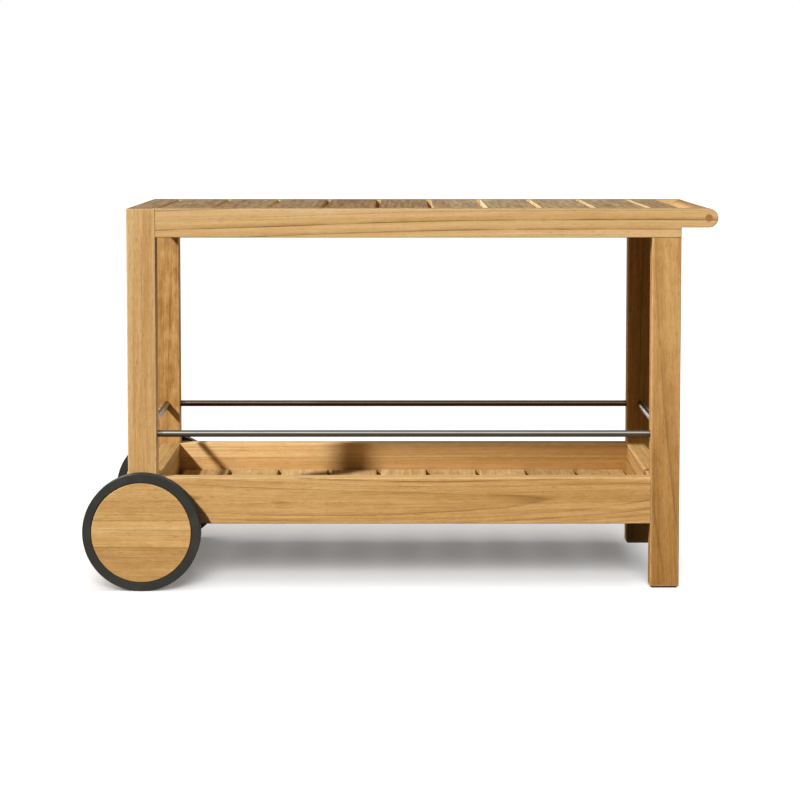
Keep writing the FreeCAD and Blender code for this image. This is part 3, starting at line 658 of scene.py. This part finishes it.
# Each rod's bright and dark colours are painted reflections, browner on the back and wheel-end rods
# where they would mirror wood in shade.
RODS = {"front": (ALONG_X, "b8b4aa", "463f36"), "back": (ALONG_X, "94846d", "3a2f22"),
        "wheel": (ALONG_Y, "857a69", "3f362b"), "handle": (ALONG_Y, "8d877b", "463f36")}
for rod, (brushed, shade, painted_dark) in RODS.items():
    dress("guard_rod_" + rod, steel(f"guard_rod_steel_{rod}", shade, ROD_ROUGHNESS, brushed, painted_dark))

# Screws: small zinc-plated pan heads with a cross recess. From below they go through the ledgers
# into every slat, two at each end, and from inside they hold the ledgers to the rails and aprons.
SCREW_HEAD = 0.004
SCREW_HEAD_HEIGHT = 0.0024
SCREW_HEAD_ROUND = 0.0016
SCREW_SHANK = 0.002
SCREW_POINT = 0.003
SCREW_BITE = 0.011
SCREW_PAIR = 0.054
SCREW_SIDES = 20
RECESS_ARM = 0.0019
RECESS_HALF_WIDTH = 0.0005
RECESS_DEPTH = 0.0014
RECESS_TAPER = 0.55
ROUND_STEPS = 4


def bridge(shell, loops):
    """Joins closed loops of points, each to the next, with rows of faces."""
    for near, far in zip(loops, loops[1:]):
        for i in range(len(near)):
            shell.faces.new((near[i - 1], near[i], far[i], far[i - 1]))


def mesh_of(shell, name):
    """A plain mesh from an edit mesh, with its faces turned outwards."""
    bmesh.ops.recalc_face_normals(shell, faces=shell.faces)
    mesh = bpy.data.meshes.new(name)
    shell.to_mesh(mesh)
    shell.free()
    return mesh


def screw_mesh(name, grip):
    """One screw that points up: its head hangs below the origin and its shank goes through the
    grip."""
    turns = [QUARTER * i / ROUND_STEPS for i in range(ROUND_STEPS, -1, -1)]
    lathe = [(SCREW_HEAD - SCREW_HEAD_ROUND * (1 - math.cos(a)),
              -SCREW_HEAD_HEIGHT + SCREW_HEAD_ROUND * (1 - math.sin(a))) for a in turns]
    tip = grip + SCREW_BITE
    lathe += [(SCREW_HEAD, 0.0), (SCREW_SHANK, 0.0), (SCREW_SHANK, tip - SCREW_POINT)]
    made = bmesh.new()
    turns = [2 * math.pi * i / SCREW_SIDES for i in range(SCREW_SIDES)]
    rings = [[made.verts.new((r * math.cos(a), r * math.sin(a), z)) for a in turns]
             for r, z in lathe]
    point = made.verts.new((0.0, 0.0, tip))
    bridge(made, rings)
    for i in range(SCREW_SIDES):
        made.faces.new((rings[-1][i - 1], rings[-1][i], point))
    a, w = RECESS_ARM, RECESS_HALF_WIDTH
    cross = [(x * c - y * s, x * s + y * c) for c, s in ((1, 0), (0, 1), (-1, 0), (0, -1))
             for x, y in ((a, -w), (a, w), (w, w))]
    lips = [made.verts.new((x, y, -SCREW_HEAD_HEIGHT)) for x, y in cross]
    bed = [made.verts.new((x * RECESS_TAPER, y * RECESS_TAPER, RECESS_DEPTH - SCREW_HEAD_HEIGHT))
           for x, y in cross]
    bridge(made, [lips, bed])
    made.faces.new(bed)
    edges = [made.edges.get((loop[i - 1], loop[i])) for loop in (rings[0], lips)
             for i in range(len(loop))]
    bmesh.ops.triangle_fill(made, use_beauty=True, edges=edges, normal=(0.0, 0.0, -1.0))
    return mesh_of(made, name)


def make_screw_rows():
    """Rows of screws along X at two places across and two heights, each turned as it was left."""
    inputs = (("Screw", "Geometry", None), ("Middle", "Vector", None), ("Count", "Int", 9),
              ("Pitch", "Float", 0.1), ("Pair", "Float", 0.0), ("Row Gap", "Float", 0.4),
              ("Level Gap", "Float", 0.6), ("Drive", "Vector", (0.0, 0.0, 1.0)),
              ("Seed", "Int", 0), ("Steel", "Material", None))
    outputs = (("Screws", "Geometry"),)
    tree, given, gives = new_group("GeometryNodeTree", "screw_rows", inputs, outputs)

    def spaced(count, gap, axis):
        """Points about the origin, so many and so far apart along an axis."""
        length = calc(tree, "MULTIPLY", calc(tree, "SUBTRACT", count, 1), gap)
        start = joined(tree, **{axis: calc(tree, "MULTIPLY", length, -0.5)})
        feeds = {"Count": count, "Start Location": start, "Offset": joined(tree, **{axis: gap})}
        return put(tree, "GeometryNodeMeshLine", feeds, mode="OFFSET").outputs[0]

    paired = put(tree, "FunctionNodeCompare", {0: given["Pair"], 1: 0.0}, data_type="FLOAT",
                 operation="GREATER_THAN").outputs[0]
    places = spaced(calc(tree, "ADD", paired, 1), given["Pair"], "X")
    for count, gap, axis in ((given["Count"], "Pitch", "X"), (2, "Row Gap", "Y"),
                             (2, "Level Gap", "Z")):
        feeds = {"Points": spaced(count, given[gap], axis), "Instance": places}
        places = put(tree, "GeometryNodeInstanceOnPoints", feeds).outputs[0]
    places = put(tree, "GeometryNodeRealizeInstances", {0: places}).outputs[0]
    feeds = {"Geometry": places, "Offset": given["Middle"]}
    places = put(tree, "GeometryNodeSetPosition", feeds).outputs[0]
    where = split(tree, put(tree, "GeometryNodeInputPosition").outputs[0])
    side = joined(tree, X=1.0, Y=calc(tree, "SIGN", where["Y"]), Z=1.0)
    drive = vector_calc(tree, "MULTIPLY", given["Drive"], side)
    aimed = put(tree, "FunctionNodeAlignRotationToVector", {"Vector": drive}, axis="Z").outputs[0]
    spin = chance(tree, 0.0, 2 * math.pi, given["Seed"])
    spun = put(tree, "FunctionNodeEulerToRotation", {0: joined(tree, Z=spin)}).outputs[0]
    left = put(tree, "FunctionNodeRotateRotation", {0: aimed, 1: spun},
               rotation_space="LOCAL").outputs[0]
    feeds = {"Points": places, "Instance": given["Screw"], "Rotation": left}
    driven = put(tree, "GeometryNodeInstanceOnPoints", feeds).outputs[0]
    return close_tree(tree, driven, given["Steel"], gives["Screws"])


screw_rows = make_screw_rows()
screw_steel = steel("screw_zinc", "b9b7b0", rough=0.38)
top_low, top_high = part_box("top_ledger_back")
tray_low, tray_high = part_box("tray_ledger_back")
slat_middle = (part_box("top_slat_1")[0].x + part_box(f"top_slat_{SLAT_COUNT}")[1].x) / 2
level_gap = top_low.z - tray_low.z
slat_screws = grown(
    "slat_screw_rows", screw_rows, screw_mesh("slat_screw", top_high.z - top_low.z),
    middle=(slat_middle, 0.0, (top_low.z + tray_low.z) / 2), count=SLAT_COUNT, pitch=slat_pitch,
    pair=SCREW_PAIR, row_gap=top_low.y + top_high.y, level_gap=level_gap, drive=(0.0, 0.0, 1.0),
    seed=3, steel=screw_steel)
fit(slat_screws, "frame", "screw_steel", "slat_screws")
ledger_screws = grown(
    "ledger_screw_rows", screw_rows, screw_mesh("ledger_screw", top_high.y - top_low.y),
    middle=(slat_middle, 0.0, (top_low.z + top_high.z + tray_low.z + tray_high.z) / 4),
    count=(SLAT_COUNT + 1) // 2, pitch=2 * slat_pitch, pair=0.0, row_gap=2 * top_low.y,
    level_gap=level_gap, drive=(0.0, 1.0, 0.0), seed=7, steel=screw_steel)
fit(ledger_screws, "frame", "screw_steel", "ledger_screws")

# Axle: one turned steel bar through both wheel-end legs. On each end a plastic spacer, a steel
# washer and a sprung ring keep the wheel in its place.
dress("axle", steel("axle_turned_steel", "b4b2ae", rough=0.34))
SKIN_CLOUDS = (22.0, 22.0, 22.0)
# What the clouds and the grit add to the least shade, and the grit and dust to the roughness
SKIN_SHADES = (0.5, 0.3, 0.6)
SKIN_ROUGHNESS = (0.2, 0.3, -0.1)
SKIN_RELIEF = (0.25, 0.0003)
SKIN_SHINE = 0.35
DUST_STEP = (0.45, 0.75)
DUST_SHADE = tint("8d8578")


def make_moulded_skin():
    """The skin of a moulded piece: fine grit, a cloudy shade, and a share of dust."""
    inputs = (("Vector", "Vector", None), ("Grit", "Float", 900.0), ("Dust", "Float", 0.0),
              ("Roughness", "Float", 0.5))
    outputs = (("Shade", "Color"), ("Dust", "Float"), ("Roughness", "Float"), ("Height", "Float"))
    tree, given, gives = new_group("ShaderNodeTree", "moulded_skin", inputs, outputs)
    grit = joined(tree, X=given["Grit"], Y=given["Grit"], Z=given["Grit"])
    fine = noise(tree, given["Vector"], grit, 2.0)
    cloud = noise(tree, given["Vector"], SKIN_CLOUDS, 4.0)
    shade = grey_of(tree, add_up(tree, cloud, fine, SKIN_SHADES))
    tree.links.new(shade, gives["Shade"])
    settled = calc(tree, "MULTIPLY", ramp(tree, cloud, *DUST_STEP), given["Dust"])
    tree.links.new(settled, gives["Dust"])
    rough = add_up(tree, fine, settled, SKIN_ROUGHNESS)
    tree.links.new(calc(tree, "ADD", rough, given["Roughness"]), gives["Roughness"])
    tree.links.new(fine, gives["Height"])
    return tree


moulded_skin = make_moulded_skin()


def moulded(name, shade, rough, grit, dust=0.0):
    """A moulded plastic or rubber: fine grit, cloudy tone, and dust that settles on it in
    patches."""
    material, tree = new_finish(name)
    spot = put(tree, "ShaderNodeTexCoord").outputs["Object"]
    feeds = {"Vector": spot, "Grit": grit, "Dust": dust, "Roughness": rough}
    skin = put(tree, "ShaderNodeGroup", feeds, node_tree=moulded_skin).outputs
    colour = blend_colour(tree, 1.0, tint(shade), skin["Shade"], "MULTIPLY")
    colour = blend_colour(tree, skin["Dust"], colour, DUST_SHADE)
    close_finish(tree, colour, skin["Roughness"], skin["Height"], SKIN_RELIEF,
                 **{"Specular IOR Level": SKIN_SHINE})
    return material


bearing = moulded("bearing_plastic", "dcd9d0", rough=0.45, grit=1200.0)
for side in ("front", "back"):
    dress("wheel_spacer_" + side, bearing)
    dress("wheel_bush_" + side, bearing)
    dress("wheel_washer_" + side, steel(f"washer_steel_{side}", "bcbab5", rough=0.32))
    dress("retaining_ring_" + side, steel(f"ring_steel_{side}", "8f8d88", rough=0.4))

# Wheels: each is two teak discs glued face to face, the outer one of three boards edge to edge with
# hairline joints. The inner disc holds the bush; the outer one hides the end of the axle.
SEAM_HEIGHTS = (-0.030, 0.026)
SEAM_EASE = 0.0006
RIM_EASE = 0.0015
EASE_STEPS = 4
ARC_STEPS = 40
MERGE_REACH = 1e-6
# The number and tone of the three boards in each outer disc, from the lowest up
STAVES = {"front": ((3.0, -1.1), (7.3, 1.2), (11.6, -0.3)),
          "back": ((4.7, 0.3), (9.0, -0.5), (13.3, 0.4))}
CORE_BOARDS = {"front": 21.0, "back": 23.0}
WHEEL_STAIN = stain("e4b97c", "c19152", "7e5024")
FACE_FIGURE = {"Pith": (0.02, 0.09, 0.0), "Ring Spacing": 0.0042, "Ring Strength": 0.28,
               "Vein Spacing": 0.010, "Vein Strength": 0.4, "Mottle": 0.7, "Flecks": 0.3}
CORE_FIGURE = {"Pith": (0.03, 0.1, 0.0), "Vein Spacing": 0.01, "Vein Strength": 0.35}


def stave_outline(middle, radius, low, high, y):
    """The outline of one board of a disc: the part of a circle between two heights."""
    low, high = max(low, -radius), min(high, radius)
    first, last = math.asin(low / radius), math.asin(high / radius)
    right = [first + (last - first) * i / ARC_STEPS for i in range(ARC_STEPS + 1)]
    left = [math.pi - a for a in reversed(right)]
    return [Vector((middle.x + radius * math.cos(a), y, middle.z + radius * math.sin(a)))
            for a in right + left]


def wheel_face(side, outward):
    """The outer disc of a wheel: three boards, eased at the rim and, less, along their joints."""
    low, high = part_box("wheel_face_" + side)
    middle, radius = (low + high) / 2, (high.x - low.x) / 2
    inside, outside = (high.y, low.y) if outward < 0 else (low.y, high.y)
    cuts = (-radius, *SEAM_HEIGHTS, radius)
    shell = bmesh.new()
    for label in ("plank", "tone"):
        shell.verts.layers.float.new(label)
    plank, tone = (shell.verts.layers.float[label] for label in ("plank", "tone"))
    for number, (bottom, top) in enumerate(zip(cuts, cuts[1:])):
        loops = []
        for step in range(-1, EASE_STEPS + 1):
            turn = QUARTER * max(step, 0) / EASE_STEPS
            rim, seam = (ease * (1 - math.cos(turn)) for ease in (RIM_EASE, SEAM_EASE))
            y = inside if step < 0 else outside - outward * RIM_EASE * (1 - math.sin(turn))
            outline = stave_outline(middle, radius - rim, bottom + seam * (number > 0),
                                    top - seam * (number < len(SEAM_HEIGHTS)), y)
            loops.append([shell.verts.new(p) for p in outline])
        for vert in (v for loop in loops for v in loop):
            vert[plank], vert[tone] = STAVES[side][number]
        bridge(shell, loops)
        shell.faces.new(loops[0])
        shell.faces.new(loops[-1])
        bmesh.ops.remove_doubles(shell, verts=[v for loop in loops for v in loop],
                                 dist=MERGE_REACH)
    mesh = mesh_of(shell, "wheel_boards_" + side)
    mesh.shade_smooth()
    face = place(mesh.name, mesh)
    face.modifiers.new("flat_faces", "WEIGHTED_NORMAL")
    settle(face)
    wood = teak(face.name + "_teak", "X", low, high, planks=True, wear=0.0,
                **FACE_FIGURE, **WHEEL_STAIN)
    face.data.materials.clear()
    face.data.materials.append(wood)
    fit(face, side + "_wheel", "teak_wheel", "wheel_face_" + side)


for side, outward in (("front", -1), ("back", 1)):
    wheel_face(side, outward)
    core = "wheel_core_" + side
    dress(core, teak(core + "_teak", "Z", *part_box(core), wear=0.0, Board=CORE_BOARDS[side],
                     **CORE_FIGURE, **WHEEL_STAIN))

# Tyres: solid black rubber rings, moulded with rounded shoulders. Each is stretched over its disc
# and sits in a step turned in the rim.
TYRE_WALL = 0.019
TYRE_SHOULDER = 0.003
TYRE_LIP = 0.0012
TYRE_STEPS = 180
SHOULDER_STEPS = 6


def make_tyre_ring():
    """A ring with rounded shoulders on the outside and small lips against the disc."""
    inputs = (("Middle", "Vector", None), ("Radius", "Float", 0.12), ("Wall", "Float", TYRE_WALL),
              ("Width", "Float", 0.028), ("Shoulder", "Float", TYRE_SHOULDER),
              ("Lip", "Float", TYRE_LIP), ("Rubber", "Material", None))
    tree, given, gives = new_group("GeometryNodeTree", "tyre_ring", inputs, (("Tyre", "Geometry"),))
    half_wall = calc(tree, "MULTIPLY", given["Wall"], 0.5)
    feeds = {"Resolution": TYRE_STEPS, "Radius": calc(tree, "SUBTRACT", given["Radius"], half_wall)}
    path = put(tree, "GeometryNodeCurvePrimitiveCircle", feeds, mode="RADIUS").outputs[0]
    feeds = {0: given["Wall"], 1: given["Width"]}
    section = put(tree, "GeometryNodeCurvePrimitiveQuadrilateral", feeds,
                  mode="RECTANGLE").outputs[0]
    where = split(tree, put(tree, "GeometryNodeInputPosition").outputs[0])
    outer = put(tree, "FunctionNodeCompare", {0: where["X"], 1: 0.0}, data_type="FLOAT",
                operation="LESS_THAN").outputs[0]
    feeds = {"Switch": outer, "False": given["Lip"], "True": given["Shoulder"]}
    rounding = put(tree, "GeometryNodeSwitch", feeds, input_type="FLOAT").outputs[0]
    feeds = {"Curve": section, "Count": SHOULDER_STEPS, "Radius": rounding}
    section = put(tree, "GeometryNodeFilletCurve", feeds, mode="POLY").outputs[0]
    feeds = {"Curve": path, "Profile Curve": section}
    ring = put(tree, "GeometryNodeCurveToMesh", feeds).outputs[0]
    feeds = {"Geometry": ring, "Rotation": (QUARTER, 0.0, 0.0), "Translation": given["Middle"]}
    upright = put(tree, "GeometryNodeTransform", feeds).outputs[0]
    smooth = put(tree, "GeometryNodeSetShadeSmooth", {"Geometry": upright}).outputs[0]
    return close_tree(tree, smooth, given["Rubber"], gives["Tyre"])


tyre_ring = make_tyre_ring()
rubber = moulded("tyre_rubber", "23221c", rough=0.78, grit=700.0, dust=0.05)
for side in ("front", "back"):
    low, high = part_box("tyre_" + side)
    tyre = grown("tyre_ring_" + side, tyre_ring, middle=(low + high) / 2,
                 radius=(high.x - low.x) / 2, wall=TYRE_WALL, width=high.y - low.y,
                 shoulder=TYRE_SHOULDER, lip=TYRE_LIP, rubber=rubber)
    fit(tyre, side + "_wheel", "tyre_rubber", "tyre_" + side)

# Foot glides: thin black plastic pads under the handle-end legs, moulded with a stud that is
# pressed into the end grain.
glide = moulded("glide_plastic", "2b2927", rough=0.5, grit=900.0, dust=0.1)
for side in ("front", "back"):
    dress("foot_glide_" + side, glide)

# Studio: a wide pale floor, a sun-like key from the upper left in front, softer lamps from behind
# and from the right, and an even surround. The floor has three lamps of its own, one above the
# other, so that the cart's soft shadow lies on it.
FLOOR_REACH = 30.0
FLOOR_SEEN = (0.85, 0.85, 0.85, 1.0)
FLOOR_FELT = (0.12, 0.12, 0.12, 1.0)
FLOOR_GLOW = 0.15
SURROUND = 0.12
WHITE = (1.0, 1.0, 1.0, 1.0)
# Each lamp's heading, level, spread in degrees, and whether it spares or lights alone these pieces
SPARES, LIGHTS_ALONE = "EXCLUDE", "INCLUDE"
LAMPS = {
    "key": ((0.87, 0.95, -1.0), 4.6, 3.5, SPARES, ["studio_floor"]),
    "back_fill": ((0.5, -0.8, -0.25), 1.6, 25.0, SPARES, ["studio_floor"]),
    "side_fill": ((-0.8, -0.4, -0.2), 1.15, 25.0, SPARES,
                  ["studio_floor", "top_slats", "tray_slats", "top_end_rail_wheel"]),
    "floor_high": ((0.0, 0.08, -1.0), 1.15, 54.0, LIGHTS_ALONE, ["studio_floor"]),
    "floor_mid": ((0.0, 1.13, -1.0), 1.25, 54.0, LIGHTS_ALONE, ["studio_floor"]),
    "floor_low": ((0.0, 1.68, -1.0), 2.7, 23.0, LIGHTS_ALONE, ["studio_floor"]),
}
# The pieces, by the start of their names, that cast no shadow in the light of a floor lamp
UPPER_PIECES = ("top_", "side_rail", "handle_bar")
SHADOWLESS = {"floor_high": (*UPPER_PIECES, "leg_", "foot_"),
              "floor_mid": (*UPPER_PIECES, "leg_", "foot_"),
              "floor_low": UPPER_PIECES}


def seen_directly(tree):
    """1 for what the camera sees, also in metal or through glass, and 0 for light that falls on
    things."""
    ray = put(tree, "ShaderNodeLightPath").outputs
    seen = calc(tree, "MAXIMUM", ray["Is Camera Ray"], ray["Is Glossy Ray"])
    return calc(tree, "MAXIMUM", seen, ray["Is Transmission Ray"])


def lamp(name, heading, level, spread):
    data = bpy.data.lights.new(name, "SUN")
    data.energy = level
    data.angle = math.radians(spread)
    made = place(name, data)
    made.rotation_euler = Vector(heading).to_track_quat("-Z", "Y").to_euler()
    return made


def linked(name, pieces, state):
    """A collection that includes these pieces in a lamp's light or shadow, or leaves them out."""
    group = bpy.data.collections.new(name)
    for piece in pieces:
        group.objects.link(piece)
        group.collection_objects[-1].light_linking.link_state = state
    return group


floor_mesh = bpy.data.meshes.new("studio_floor")
corners = [(x * FLOOR_REACH, y * FLOOR_REACH, 0.0) for x, y in ((-1, -1), (1, -1), (1, 1), (-1, 1))]
floor_mesh.from_pydata(corners, [], [(0, 1, 2, 3)])
floor = place("studio_floor", floor_mesh)
paper, tree = new_finish("pale_paper")
direct = seen_directly(tree)
sheet = blend_colour(tree, direct, FLOOR_FELT, FLOOR_SEEN)
matt = put(tree, "ShaderNodeBsdfDiffuse", {"Color": sheet}).outputs[0]
strength = calc(tree, "MULTIPLY", direct, FLOOR_GLOW)
glow = put(tree, "ShaderNodeEmission", {"Strength": strength}).outputs[0]
lit = put(tree, "ShaderNodeAddShader", {0: matt, 1: glow}).outputs[0]
put(tree, "ShaderNodeOutputMaterial", {"Surface": lit})
floor_mesh.materials.append(paper)
floor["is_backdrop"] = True

world = bpy.data.worlds.new("studio_surround")
world.use_nodes = True
tree = world.node_tree
tree.nodes.clear()
strength = calc(tree, "MULTIPLY_ADD", seen_directly(tree), 1.0 - SURROUND, SURROUND)
even = put(tree, "ShaderNodeBackground", {"Color": WHITE, "Strength": strength}).outputs[0]
put(tree, "ShaderNodeOutputWorld", {"Surface": even})
bpy.context.scene.world = world

for name, (heading, level, spread, state, pieces) in LAMPS.items():
    reach = linked(name + "_reach", [bpy.data.objects[piece] for piece in pieces], state)
    lamp(name, heading, level, spread).light_linking.receiver_collection = reach
for name, starts in SHADOWLESS.items():
    shadowless = [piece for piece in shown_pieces() if piece.name.startswith(starts)]
    spares = linked(name + "_spares", shadowless, SPARES)
    bpy.data.objects[name].light_linking.blocker_collection = spares

# Camera: a long lens from in front, a little above the top and tilted slightly down. Its frame is
# shifted down as well, because the photograph's upright edges stay almost parallel.
LENS = 100.85
SENSOR_WIDTH = 36.0
FRAME_SHIFT = -0.16
FARTHEST = 100.0
EYE = (0.0003, -4.872, 0.9832)
TILT_DOWN = 4.023
camera_data = bpy.data.cameras.new("front_view")
camera_data.lens = LENS
camera_data.sensor_width = SENSOR_WIDTH
camera_data.shift_y = FRAME_SHIFT
camera_data.clip_end = FARTHEST
camera = place("front_view", camera_data)
camera.location = EYE
camera.rotation_euler = (math.radians(90.0 - TILT_DOWN), 0.0, 0.0)
bpy.context.scene.camera = camera
bpy.context.scene.view_settings.view_transform = "Standard"
